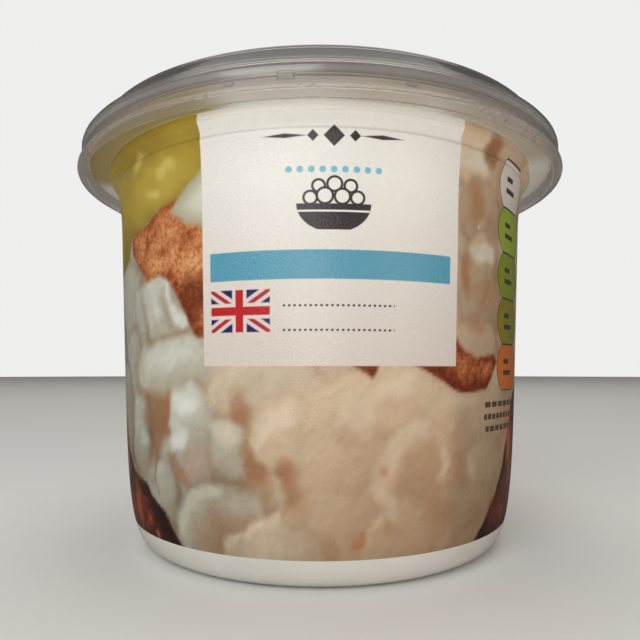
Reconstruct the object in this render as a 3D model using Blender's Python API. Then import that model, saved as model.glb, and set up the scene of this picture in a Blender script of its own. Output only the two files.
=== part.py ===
"""Shut round dairy tub: a filled tub with a rim, a sealing film on the rim and a clear push-on lid.

Metres, +Z up, origin at the middle of the base, the printed front facing -Y.
"""
import math

import bmesh
import bpy

MM = 0.001

# Turning
SEGMENTS = 64
MERGE_DISTANCE = 0.05 * MM
SHARP_ANGLE = math.radians(32)

# Gap left between pieces that touch
GAP = 0.3 * MM

# Tub wall: a straight draft above, rounding under to the base along a superellipse
DRAFT = 0.0505
WALL_RADIUS = 39.4 * MM
ROUND_HEIGHT = 47.9 * MM
ROUND_WIDTH = 12.6 * MM
ROUND_POWER = 6.1
ROUND_STEPS = 13

# Foot ring and the shallow recess inside it
FOOT_INNER_RADIUS = 22.0 * MM
RECESS_DEPTH = 1.2 * MM
RECESS_SLOPE_WIDTH = 1.6 * MM

# Upper wall: a gentle outward flare, a fine groove and the collar above it
FLARE_START = 59.0 * MM
FLARE_ARC_RADIUS = 36.0 * MM
FLARE_STEPS = 4
GROOVE_HEIGHT = 66.8 * MM
GROOVE_WIDTH = 0.5 * MM
GROOVE_DEPTH = 0.3 * MM
COLLAR_RADIUS = 42.4 * MM
COLLAR_HEIGHT = 68.4 * MM

# Rim flange of the tub
RIM_ROOT_HEIGHT = 70.0 * MM
RIM_RADIUS = 46.1 * MM
RIM_THICKNESS = 1.1 * MM
RIM_TOP = 71.2 * MM
RIM_EDGE_ROUND = 0.35 * MM

# Sealing film
FILM_THICKNESS = 0.3 * MM
FILM_RADIUS = 45.9 * MM

# Lid: skirt with an outturned lip, a shoulder, a raised stacking ring and a sunken panel
LID_WALL = 0.5 * MM
LIP_HEIGHT = 67.8 * MM
LIP_INNER_RADIUS = 46.6 * MM
LIP_RADIUS = 48.05 * MM
SKIRT_RADIUS = 47.4 * MM
WAIST_RADIUS = 47.1 * MM
BEAD_RADIUS = 47.45 * MM
WAIST_HEIGHT = 72.3 * MM
SHOULDER_HEIGHT = 73.6 * MM
RING_OUTER_RADIUS = 45.3 * MM
RING_CREST_RADIUS = 43.2 * MM
RING_INNER_RADIUS = 40.4 * MM
LID_TOP = 77.2 * MM
RING_ROUND = 1.1 * MM
PANEL_HEIGHT = 73.5 * MM
PANEL_ROUND = 0.9 * MM
PANEL_STEP_RADIUS = 33.0 * MM
PANEL_STEP = 0.5 * MM
ARC_STEPS = 3


def clear_scene():
    for item in list(bpy.data.objects):
        bpy.data.objects.remove(item, do_unlink=True)


def plastic(name, colour, roughness, transmission=0.0):
    """Make a Principled material for one of the plastic pieces."""
    material = bpy.data.materials.new(name)
    material.use_nodes = True
    shader = material.node_tree.nodes["Principled BSDF"]
    shader.inputs["Base Color"].default_value = (*colour, 1.0)
    shader.inputs["Roughness"].default_value = roughness
    shader.inputs["Metallic"].default_value = 0.0
    shader.inputs["Transmission Weight"].default_value = transmission
    return material


def arc(centre, radius, start_degrees, end_degrees, steps):
    """Points of an arc in the profile plane, both ends included."""
    points = []
    for step in range(steps + 1):
        angle = math.radians(start_degrees + (end_degrees - start_degrees) * step / steps)
        points.append((centre[0] + radius * math.cos(angle), centre[1] + radius * math.sin(angle)))
    return points


def wall_radius(height):
    """Outer radius of the tub's wall at a height, up to the groove."""
    if height >= ROUND_HEIGHT:
        flare = max(0.0, height - FLARE_START) ** 2 / (2 * FLARE_ARC_RADIUS)
        return WALL_RADIUS + DRAFT * (height - ROUND_HEIGHT) + flare
    depth = ROUND_HEIGHT - height
    fullness = max(0.0, 1 - (depth / ROUND_HEIGHT) ** ROUND_POWER) ** (1 / ROUND_POWER)
    return WALL_RADIUS - ROUND_WIDTH + fullness * (ROUND_WIDTH - DRAFT * depth)


def rounded_wall_heights():
    """Heights down the rounded part of the wall, closer together towards the base."""
    heights = []
    for step in range(ROUND_STEPS + 1):
        angle = math.pi / 2 * step / ROUND_STEPS
        heights.append(ROUND_HEIGHT * (1 - math.sin(angle) ** (2 / ROUND_POWER)))
    return heights


def tub_profile():
    """Outline of the filled tub, from the middle of its top down its outer side to the axis."""
    groove_top = GROOVE_HEIGHT + GROOVE_WIDTH / 2
    groove_bottom = GROOVE_HEIGHT - GROOVE_WIDTH / 2
    rim_edge = RIM_RADIUS - RIM_EDGE_ROUND
    points = [(0.0, RIM_TOP)]
    points += arc((rim_edge, RIM_TOP - RIM_EDGE_ROUND), RIM_EDGE_ROUND, 90, 0, 2)
    points += [
        (RIM_RADIUS, RIM_TOP - RIM_THICKNESS),
        (COLLAR_RADIUS + RIM_EDGE_ROUND, RIM_ROOT_HEIGHT),
        (COLLAR_RADIUS, RIM_ROOT_HEIGHT - RIM_EDGE_ROUND),
        (COLLAR_RADIUS, COLLAR_HEIGHT),
        (wall_radius(groove_top), groove_top),
        (wall_radius(GROOVE_HEIGHT) - GROOVE_DEPTH, GROOVE_HEIGHT),
        (wall_radius(groove_bottom), groove_bottom),
    ]
    for step in range(1, FLARE_STEPS + 1):
        height = groove_bottom + (FLARE_START - groove_bottom) * step / FLARE_STEPS
        points.append((wall_radius(height), height))
    points += [(wall_radius(height), height) for height in rounded_wall_heights()]
    points += [
        (FOOT_INNER_RADIUS, 0.0),
        (FOOT_INNER_RADIUS - RECESS_SLOPE_WIDTH, RECESS_DEPTH),
        (0.0, RECESS_DEPTH),
    ]
    return points


def film_profile():
    """Outline of the thin disc that seals the rim."""
    bottom = RIM_TOP + GAP
    top = bottom + FILM_THICKNESS
    return [(0.0, top), (FILM_RADIUS, top), (FILM_RADIUS, bottom), (0.0, bottom)]


def lid_sheet():
    """Outer face of the lid, from the middle of its panel to the lower edge of its lip."""
    panel_foot = (RING_INNER_RADIUS - PANEL_ROUND, PANEL_HEIGHT + PANEL_ROUND)
    crest_inner = (RING_INNER_RADIUS + RING_ROUND, LID_TOP - RING_ROUND)
    crest_outer = (RING_CREST_RADIUS, LID_TOP - RING_ROUND)
    points = [
        (0.0, PANEL_HEIGHT + PANEL_STEP),
        (PANEL_STEP_RADIUS - PANEL_STEP, PANEL_HEIGHT + PANEL_STEP),
        (PANEL_STEP_RADIUS, PANEL_HEIGHT),
    ]
    points += arc(panel_foot, PANEL_ROUND, -90, 0, ARC_STEPS)
    points += arc(crest_inner, RING_ROUND, 180, 90, ARC_STEPS)
    points += arc(crest_outer, RING_ROUND, 90, 20, ARC_STEPS)
    points += [
        (RING_OUTER_RADIUS, SHOULDER_HEIGHT + LID_WALL),
        (BEAD_RADIUS - LID_WALL, SHOULDER_HEIGHT),
        (BEAD_RADIUS, SHOULDER_HEIGHT - 2 * LID_WALL),
        (WAIST_RADIUS, WAIST_HEIGHT),
        (SKIRT_RADIUS, WAIST_HEIGHT - 4 * LID_WALL),
        (LIP_RADIUS, LIP_HEIGHT + 2 * LID_WALL),
        (LIP_INNER_RADIUS, LIP_HEIGHT),
    ]
    return points


def inset_sheet(points, thickness):
    """Inner face of a sheet: every point moved inwards by the thickness, along the corner's bisector."""
    inner = []
    for index, (radius, height) in enumerate(points):
        before = points[max(index - 1, 0)]
        after = points[min(index + 1, len(points) - 1)]
        directions = []
        for start, end in ((before, (radius, height)), ((radius, height), after)):
            length = math.dist(start, end)
            if length > 0:
                directions.append(((end[0] - start[0]) / length, (end[1] - start[1]) / length))
        along = (sum(d[0] for d in directions), sum(d[1] for d in directions))
        length = math.hypot(*along)
        inwards = (along[1] / length, -along[0] / length)
        stretch = length / len(directions)
        inner.append((max(0.0, radius + inwards[0] * thickness / stretch),
                      height + inwards[1] * thickness / stretch))
    return inner


def lid_profile():
    """Closed outline of the lid's thin wall: out over its top, back under it."""
    outer = lid_sheet()
    inner = inset_sheet(outer, LID_WALL)
    return outer + inner[::-1]


def turned_solid(name, profile, material):
    """Turn an outline round the Z axis and give the solid its material."""
    shape = bmesh.new()
    verts = [shape.verts.new((radius, 0.0, height)) for radius, height in profile]
    edges = [shape.edges.new(pair) for pair in zip(verts, verts[1:])]
    bmesh.ops.spin(
        shape, geom=verts + edges, cent=(0, 0, 0), axis=(0, 0, 1), angle=2 * math.pi,
        steps=SEGMENTS, use_merge=True, use_duplicate=False,
    )
    bmesh.ops.remove_doubles(shape, verts=shape.verts, dist=MERGE_DISTANCE)
    bmesh.ops.recalc_face_normals(shape, faces=shape.faces)
    mesh = bpy.data.meshes.new(name)
    shape.to_mesh(mesh)
    shape.free()
    mesh.materials.append(material)
    mesh.shade_smooth()
    mesh.set_sharp_from_angle(angle=SHARP_ANGLE)
    item = bpy.data.objects.new(name, mesh)
    bpy.context.collection.objects.link(item)


def main():
    clear_scene()
    white = plastic("tub_plastic", (0.82, 0.81, 0.78), 0.35)
    film = plastic("film_plastic", (0.86, 0.86, 0.84), 0.3)
    clear = plastic("lid_plastic", (0.9, 0.9, 0.88), 0.08, transmission=0.9)
    turned_solid("tub", tub_profile(), white)
    turned_solid("seal_film", film_profile(), film)
    turned_solid("lid", lid_profile(), clear)


main()
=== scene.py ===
"""Looks of a shut round dairy tub: white tub, picture wrap, sealing film and clear push-on lid.

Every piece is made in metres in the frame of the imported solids, with its printed front facing -Y.
Outlines and places on the wrap are in millimetres: across runs round the tub from the middle of
the front, positive to the right, and up is the height above the base.
"""

import math

import bmesh
import bpy
import numpy as np
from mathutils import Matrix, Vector


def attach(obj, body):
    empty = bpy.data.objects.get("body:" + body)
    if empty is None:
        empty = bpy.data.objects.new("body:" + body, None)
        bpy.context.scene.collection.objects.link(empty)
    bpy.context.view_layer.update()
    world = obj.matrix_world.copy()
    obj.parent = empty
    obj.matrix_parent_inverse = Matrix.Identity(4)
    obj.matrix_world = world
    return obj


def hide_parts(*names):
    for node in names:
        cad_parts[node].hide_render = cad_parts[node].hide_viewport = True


MM = 0.001

# View: lens on a 36 mm sensor, place of the camera and its upward tilt
LENS = 31.5
CAMERA_PLACE = (0.0, -0.11794, 0.03191)
CAMERA_TILT = math.radians(5.12)

# Turned pieces
FINE_SEGMENTS = 256
MERGE_DISTANCE = 0.01 * MM
SMOOTH_ANGLE = math.radians(32)

# Wall of the tub, the same curve as in the solids
DRAFT = 0.0505
WALL_RADIUS = 39.4
ROUND_HEIGHT = 47.9
ROUND_WIDTH = 12.6
ROUND_POWER = 6.1
ROUND_STEPS = 33
FLARE_START = 59.0
FLARE_ARC_RADIUS = 36.0
GROOVE_HEIGHT = 66.8
GROOVE_DEPTH = 0.3
GROOVE_HALF_WIDTH = 0.45
COLLAR_RADIUS = 42.4
COLLAR_FOOT = 67.3
COLLAR_HEIGHT = 68.3
LID_WALL = 0.5

# Picture wrap
WRAP_LOW = 5.0
WRAP_HIGH = 69.6
WRAP_INSET = 0.14
WRAP_COLUMNS = 552
WRAP_ROWS = 150
WRAP_BACK_HEIGHTS = (5.05, 7, 10, 14, 19, 25, 32, 40, 47.9, 54, 59, 62, 64.4, 66.35, 66.8, 67.25, 67.3, 68.3, 69.6)
GIRTH = 248.8
PRINT_RADIUS = GIRTH / (2 * math.pi)
OVERLAP_WIDTH = 5.0
OVERLAP_RISE = 0.06
PICTURE_STEP = 0.25

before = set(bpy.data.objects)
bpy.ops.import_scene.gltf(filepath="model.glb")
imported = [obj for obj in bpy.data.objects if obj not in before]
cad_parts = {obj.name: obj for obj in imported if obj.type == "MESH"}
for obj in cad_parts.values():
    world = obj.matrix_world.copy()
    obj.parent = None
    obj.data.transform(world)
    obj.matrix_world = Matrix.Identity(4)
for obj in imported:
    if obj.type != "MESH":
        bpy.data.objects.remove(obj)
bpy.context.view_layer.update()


# Modelling helpers

def object_mode():
    if bpy.context.object and bpy.context.object.mode != "OBJECT":
        bpy.ops.object.mode_set(mode="OBJECT")


def deselect_all():
    object_mode()
    bpy.ops.object.select_all(action="DESELECT")


def name_new(name):
    """Name the object that was just added, and its mesh."""
    piece = bpy.context.object
    piece.name = name
    piece.data.name = name
    return piece


def shade_smooth(piece):
    deselect_all()
    piece.select_set(True)
    bpy.context.view_layer.objects.active = piece
    bpy.ops.object.shade_smooth_by_angle(angle=SMOOTH_ANGLE)


def arc(centre, radius, start_degrees, end_degrees, steps):
    """Points of an arc in an outline, both ends included."""
    points = []
    for step in range(steps + 1):
        angle = math.radians(start_degrees + (end_degrees - start_degrees) * step / steps)
        points.append((centre[0] + radius * math.cos(angle), centre[1] + radius * math.sin(angle)))
    return points


def wall_radius(height):
    """Outer radius of the tub's wall at a height, for one height or an array of them."""
    height = np.asarray(height, float)
    flare = np.clip(height - FLARE_START, 0, None) ** 2 / (2 * FLARE_ARC_RADIUS)
    straight = WALL_RADIUS + DRAFT * (height - ROUND_HEIGHT) + flare
    depth = np.clip(ROUND_HEIGHT - height, 0, ROUND_HEIGHT)
    fullness = (1 - (depth / ROUND_HEIGHT) ** ROUND_POWER) ** (1 / ROUND_POWER)
    rounded = WALL_RADIUS - ROUND_WIDTH + fullness * (ROUND_WIDTH - DRAFT * depth)
    groove = GROOVE_DEPTH * np.clip(1 - np.abs(height - GROOVE_HEIGHT) / GROOVE_HALF_WIDTH, 0, 1)
    wall = np.where(height >= ROUND_HEIGHT, straight, rounded) - groove
    collar = np.clip((height - COLLAR_FOOT) / (COLLAR_HEIGHT - COLLAR_FOOT), 0, 1)
    return wall + collar * np.clip(COLLAR_RADIUS - wall, 0, None)


def inset_outline(points, thickness):
    """Inner side of a sheet: every point moved square to its neighbours by the thickness."""
    inner = []
    for index, (radius, height) in enumerate(points):
        before = points[max(index - 1, 0)]
        after = points[min(index + 1, len(points) - 1)]
        length = math.dist(before, after)
        along = ((after[0] - before[0]) / length, (after[1] - before[1]) / length)
        inner.append((max(0.0, radius + along[1] * thickness), height - along[0] * thickness))
    return inner


def turned(name, outline, segments=FINE_SEGMENTS):
    """Draw an outline (radius, height) as a chain of edges and spin it round the Z axis."""
    deselect_all()
    bpy.ops.mesh.primitive_plane_add(size=MM, location=(0, 0, 0))
    piece = name_new(name)
    bpy.ops.object.mode_set(mode="EDIT")
    bpy.ops.mesh.select_all(action="SELECT")
    bpy.ops.mesh.merge(type="CENTER")
    radius, height = outline[0]
    bpy.ops.transform.translate(value=(radius * MM, 0, height * MM))
    for next_radius, next_height in outline[1:]:
        step = ((next_radius - radius) * MM, 0, (next_height - height) * MM)
        bpy.ops.mesh.extrude_vertices_move(TRANSFORM_OT_translate={"value": step})
        radius, height = next_radius, next_height
    bpy.ops.mesh.select_all(action="SELECT")
    bpy.ops.mesh.spin(steps=segments, angle=2 * math.pi, center=(0, 0, 0), axis=(0, 0, 1))
    bpy.ops.mesh.select_all(action="SELECT")
    bpy.ops.mesh.remove_doubles(threshold=MERGE_DISTANCE)
    bpy.ops.mesh.normals_make_consistent(inside=False)
    shade_smooth(piece)
    return piece


def dress(piece, material, slot, *nodes):
    """Give a finished piece its material, hang it on the root body and hide the imported parts that it stands for."""
    piece.data.materials.clear()
    piece.data.materials.append(material)
    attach(piece, "root")
    if nodes:
        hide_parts(*nodes)


# Picture on the wrap, painted with soft fields of colour and simple shapes

# Where the painted light comes from, how far edges are wobbled in millimetres, and how square a curd is
LIGHT_FROM = np.array([-0.52, 0.58, 0.63])
WOBBLE = 3.0
CURD_POWER = 2.4

# Colours of the curds: lit, shaded and the hollow between them, for the pale and the creamy side; the creamy side's
# warmer, darker tone is partly print and partly painted warm shade
PALE_CURD = ((207, 211, 200), (150, 132, 106), (120, 80, 50))
CREAM_CURD = ((216, 194, 166), (178, 147, 117), (150, 106, 72))


def round_girth(distance):
    """The shorter way round the tub for a distance across."""
    return (distance + GIRTH / 2) % GIRTH - GIRTH / 2


def ease(low, high, value):
    """Smooth step from 0 at low to 1 at high."""
    share = np.clip((value - low) / (high - low), 0, 1)
    return share * share * (3 - 2 * share)


def linear(shown):
    """Linear light for a value from 0 to 1 as it shows on a screen."""
    shown = np.asarray(shown, float)
    return np.where(shown <= 0.04045, shown / 12.92, ((shown + 0.055) / 1.055) ** 2.4)


def blended(table, row, left, right, fx, fy):
    """Values between the four nearest points of a table."""
    low = table[row, left] * (1 - fx) + table[row, right] * fx
    high = table[row + 1, left] * (1 - fx) + table[row + 1, right] * fx
    return low * (1 - fy) + high * fy


def cloudy(across, up, cell, seed):
    """Smooth random field from 0 to 1 with blots about a cell wide, closed round the tub."""
    columns = round(GIRTH / cell)
    rows = int(WRAP_HIGH / cell) + 6
    table = np.random.default_rng(seed).random((rows, columns))
    x = across / GIRTH % 1.0 * columns
    y = np.clip(up / cell + 1.5, 0.0, rows - 2.001)
    column, row = np.floor(x).astype(int), np.floor(y).astype(int)
    fx, fy = x - column, y - row
    fx, fy = fx * fx * (3 - 2 * fx), fy * fy * (3 - 2 * fy)
    return blended(table, row, column % columns, (column + 1) % columns, fx, fy)


def layered(across, up, cell, seed, layers=3):
    """Cloudy fields of ever smaller cells laid over each other."""
    total, weights, weight = 0.0, 0.0, 1.0
    for layer in range(layers):
        total = total + weight * cloudy(across, up, cell / 2 ** layer, seed + layer)
        weights += weight
        weight *= 0.55
    return total / weights


def lit_relief(height):
    """How brightly a relief is lit from its upper left, against where it is level."""
    gy, gx = np.gradient(height, PICTURE_STEP)
    length = np.sqrt(gx * gx + gy * gy + 1)
    lit = (-gx * LIGHT_FROM[0] - gy * LIGHT_FROM[1] + LIGHT_FROM[2]) / length
    return np.clip(lit, 0, 1) - LIGHT_FROM[2]


def ramp(tone, stops):
    """Colour for a tone, from stops of (tone, colour)."""
    places = [place for place, _ in stops]
    return np.stack([np.interp(tone, places, [colour[i] for _, colour in stops]) for i in range(3)], -1)


class Picture:
    """The wrap's picture laid flat, with places wobbled so that no painted edge is ruled."""

    def __init__(self):
        across = np.arange(-GIRTH / 2, GIRTH / 2, PICTURE_STEP)
        up = np.arange(0.0, WRAP_HIGH + 2, PICTURE_STEP)
        self.across, self.up = np.meshgrid(across, up)
        sway = layered(self.across, self.up, 4.2, 3, 3) - 0.5
        rise = layered(self.across, self.up, 4.2, 23, 3) - 0.5
        self.wobbled_across = self.across + WOBBLE * sway
        self.wobbled_up = self.up + WOBBLE * rise
        self.rough = layered(self.across, self.up, 2.2, 43, 3) - 0.5
        self.colour = np.zeros(self.across.shape + (3,))
        self.crumb = np.zeros(self.across.shape)

    def window(self, across, up, reach):
        """Rows and columns of the picture near a place, going round the back where needed."""
        rows, columns = self.across.shape
        first = int((across - reach + GIRTH / 2) / PICTURE_STEP)
        last = int((across + reach + GIRTH / 2) / PICTURE_STEP)
        low = max(0, int((up - reach) / PICTURE_STEP))
        high = min(rows, int((up + reach) / PICTURE_STEP) + 1)
        return np.ix_(np.arange(low, max(high, low)), np.arange(first, last + 1) % columns)

    def lay(self, part, mask, colour):
        """Lay a colour over a part of the picture where the mask says."""
        beneath = self.colour[part]
        self.colour[part] = beneath + mask[..., None] * (np.asarray(colour, float) - beneath)

    def turned_place(self, part, across, up, wide, tall, turn):
        """Places within an oval, from -1 to 1 along its two axes."""
        du = round_girth(self.wobbled_across[part] - across)
        dv = self.wobbled_up[part] - up
        cos, sin = math.cos(math.radians(turn)), math.sin(math.radians(turn))
        return (du * cos + dv * sin) / wide, (dv * cos - du * sin) / tall

    def blot(self, place, colour, strength=1.0, edge=0.6):
        """A soft uneven oval: across, up, half width, half height and turn in degrees."""
        across, up, wide, tall, turn = (*place, 0)[:5]
        part = self.window(across, up, 1.8 * max(wide, tall) + 2.5)
        x, y = self.turned_place(part, across, up, wide, tall, turn)
        reach = np.hypot(x, y) + 0.35 * self.rough[part]
        self.lay(part, strength * ease(1 + edge, 1 - edge, reach), colour)

    def curd(self, place, level=1.0, contrast=1.0, edge=0.14):
        """A rounded curd laid over what is there, lit from its upper left, with a shaded foot."""
        across, up, wide, tall, turn = (*place, 0)[:5]
        part = self.window(across, up, 1.5 * max(wide, tall) + 3.5)
        lit_colour, shade_colour, hollow_colour = curd_colours(across)
        x, y = self.turned_place(part, across + 0.5, up - 0.7, wide * 1.06, tall * 1.06, turn)
        self.lay(part, 0.46 * contrast * ease(1.30, 0.90, np.hypot(x, y)), hollow_colour)
        x, y = self.turned_place(part, across, up, wide, tall, turn)
        reach = (np.abs(x) ** CURD_POWER + np.abs(y) ** CURD_POWER) ** (1 / CURD_POWER)
        cos, sin = math.cos(math.radians(turn)), math.sin(math.radians(turn))
        small = min(wide, tall)
        lean_x, lean_y = x * small / wide, y * small / tall
        face = np.sqrt(np.clip(1 - reach ** 2, 0, 1)) + 0.35
        normal_x, normal_y = lean_x * cos - lean_y * sin, lean_x * sin + lean_y * cos
        length = np.sqrt(normal_x ** 2 + normal_y ** 2 + face ** 2)
        lit = (normal_x * LIGHT_FROM[0] + normal_y * LIGHT_FROM[1] + face * LIGHT_FROM[2]) / length
        tone = np.clip(0.62 + contrast * (0.62 * (lit - 0.55) + 0.3 * self.rough[part]), 0, 1.15)
        lit_colour, shade_colour = np.array(lit_colour, float), np.array(shade_colour, float)
        body = shade_colour + tone[..., None] * (lit_colour - shade_colour)
        self.lay(part, ease(1 + edge, 1 - edge, reach), level * body)

    def stroke(self, points, width, colour, strength=1.0, edge=0.7):
        """A soft stroke through some points."""
        middle = np.mean(points, axis=0)
        part = self.window(*middle, 4 * width + max(math.dist(middle, point) for point in points) + 2)
        nearest = np.full(self.across[part].shape, 1e9)
        for (x0, y0), (x1, y1) in zip(points, points[1:]):
            dx, dy = x1 - x0, y1 - y0
            du, dv = round_girth(self.wobbled_across[part] - x0), self.wobbled_up[part] - y0
            along = np.clip((du * dx + dv * dy) / (dx * dx + dy * dy), 0, 1)
            nearest = np.minimum(nearest, np.hypot(du - along * dx, dv - along * dy))
        self.lay(part, strength * ease(width * (1 + edge), width * (1 - edge), nearest), colour)

    def paint(self, jobs):
        """Paint in order: a stroke starts with a list of points, a blot has its colour second, a curd its level."""
        for job in jobs:
            if isinstance(job[0], list):
                self.stroke(*job)
            elif isinstance(job[1], tuple):
                self.blot(*job)
            else:
                self.curd(*job)

    def outline(self, corners, wobble=0.3):
        """Part of the picture round a closed outline, and the distance to it, negative inside."""
        middle = np.mean(corners, axis=0)
        part = self.window(*middle, max(math.dist(middle, corner) for corner in corners) + 3)
        x = self.across[part] + wobble * (self.wobbled_across - self.across)[part]
        y = self.up[part] + wobble * (self.wobbled_up - self.up)[part]
        x = middle[0] + round_girth(x - middle[0])
        nearest = np.full(x.shape, 1e9)
        inside = np.zeros(x.shape, bool)
        for (x0, y0), (x1, y1) in zip(corners, corners[1:] + corners[:1]):
            dx, dy = x1 - x0, y1 - y0
            along = np.clip(((x - x0) * dx + (y - y0) * dy) / (dx * dx + dy * dy), 0, 1)
            nearest = np.minimum(nearest, np.hypot(x - x0 - along * dx, y - y0 - along * dy))
            if y0 != y1:
                inside ^= ((y0 > y) != (y1 > y)) & (x < x0 + (y - y0) * dx / dy)
        return part, np.where(inside, -nearest, nearest)


def curd_colours(across):
    """Lit, shaded and hollow colours of the curds, pale left of the front and creamy elsewhere."""
    pale = float(ease(-4, -18, across) * ease(-80, -60, across))
    return [tuple(pale * p + (1 - pale) * c for p, c in zip(*pair)) for pair in zip(PALE_CURD, CREAM_CURD)]


def oval(across, up, wide, tall, phase):
    """Corners of an uneven oval outline."""
    corners = []
    for step in range(28):
        angle = 2 * math.pi * step / 28
        swell = 1 + 0.05 * math.sin(2 * angle + phase) + 0.035 * math.sin(3 * angle + 2 * phase)
        corners.append((across + wide * swell * math.cos(angle), up + tall * swell * math.sin(angle)))
    return corners


def rounded(corners):
    """The same outline with each corner cut off at a fifth of its sides."""
    cut = []
    for (x0, y0), (x1, y1) in zip(corners, corners[1:] + corners[:1]):
        cut += [(0.8 * x0 + 0.2 * x1, 0.8 * y0 + 0.2 * y1), (0.2 * x0 + 0.8 * x1, 0.2 * y0 + 0.8 * y1)]
    return cut


# Tones of fruit and crackers, and their outlines beside the curds, front ones first
FRUIT = [(0.0, (100, 84, 22)), (0.35, (146, 122, 40)), (0.7, (186, 162, 62)), (1.0, (214, 194, 104))]
BAKED = [(0.0, (112, 46, 22)), (0.3, (168, 92, 48)), (0.55, (204, 134, 82)), (0.8, (222, 162, 108)),
         (1.0, (236, 194, 148))]
DARK_BAKED = [(0.0, (44, 18, 12)), (0.35, (98, 38, 17)), (0.65, (160, 78, 30)), (1.0, (206, 124, 62))]
FRUIT_PATCHES = [
    [(-57, 73), (-59, 62), (-57, 53), (-50, 49), (-43, 49.6), (-39.2, 51.4), (-37.6, 54.3), (-33, 55.5),
     (-27, 57.5), (-22, 58.3), (-18, 61), (-14, 73)],
    oval(89, 64, 13.5, 10, 0.5), oval(-101, 25.6, 10.4, 9.4, 2.0),
]
CRACKER_PATCHES = [
    [(-37.5, 54.3), (-37.3, 51.8), (-35, 49.4), (-32.1, 46.2), (-30, 47), (-28, 46.9), (-24.8, 45.1), (-22.2, 41.5),
     (-20.6, 37.4), (-19, 36.9), (-14, 37.4), (-14, 60), (-20, 58), (-22.4, 58.4), (-27, 57.6), (-33, 55.5)],
    [(3.9, 34), (9.3, 34), (7.7, 30.6)],
    [(13.6, 33), (18.4, 31), (21.5, 28.9), (25.2, 28.1), (31.0, 29), (33.8, 34.4), (25.6, 33.9), (22.6, 36.5),
     (21, 40), (17, 38)],
    oval(78, 26.8, 13.4, 12.8, 1.0), oval(-73, 53.6, 14.8, 12.4, 3.0), oval(115.6, 22.6, 9.6, 11.4, 4.4),
]
DARK_PATCHES = [
    [(-36.4, 14.2), (-32.8, 12.4), (-29.6, 10.6), (-26.7, 8), (-24.2, 4), (-26, -2), (-56, -2), (-58.5, 8),
     (-57.5, 18), (-53, 25), (-48.5, 26), (-45, 21.5), (-42, 16)],
    [(25.6, -2), (29.2, 4.8), (32.7, 8.5), (36, 12.6), (38.8, 19), (42.2, 27), (49.5, 31), (56, 29.5), (61, 23),
     (62.5, 13), (59, -2)],
]

# How brown each cracker is baked, and the white wedge beside the panel
CRACKER_LEVELS = (0.44, 0.16, 0.17, 0.36, 0.34, 0.36)
DARK_LEVEL = 0.24
WEDGE = [(-24.8, 56.6), (-21.5, 59.6), (-18.6, 62), (-14, 63), (-14, 52), (-18.6, 53.4), (-21.4, 54.2)]

# Broad painted shade over the curds, darker towards the bottom: how much of each colour goes, where it starts and
# ends across, and up
PAINTED_SHADE_FIELDS = [
    ((0.11, 0.15, 0.19), (-14, 10, 38, 52), (34, 6)), ((0.14, 0.15, 0.17), (-60, -52, -16, -8), (30, 10)),
    ((0.12, 0.13, 0.15), (20, 24, 40, 52), (90, 30)),
]


def paint_scattered_curds(picture):
    """A first layer of curds all round, the lower ones over the upper ones."""
    picture.colour[:] = (188, 160, 130)
    rng = np.random.default_rng(11)
    for middle in np.arange(74.0, -2.0, -5.0):
        for centre in np.arange(-GIRTH / 2, GIRTH / 2, 9.2) + rng.uniform(0, 9):
            wide = rng.uniform(4.5, 8.5)
            across, up = round_girth(centre + rng.uniform(-3, 3)), middle + rng.uniform(-2, 2)
            place = (across, up, wide, wide * rng.uniform(0.6, 0.9), rng.uniform(-50, 50))
            picture.curd(place, rng.uniform(0.93, 1.03), 0.75, 0.16)


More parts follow.
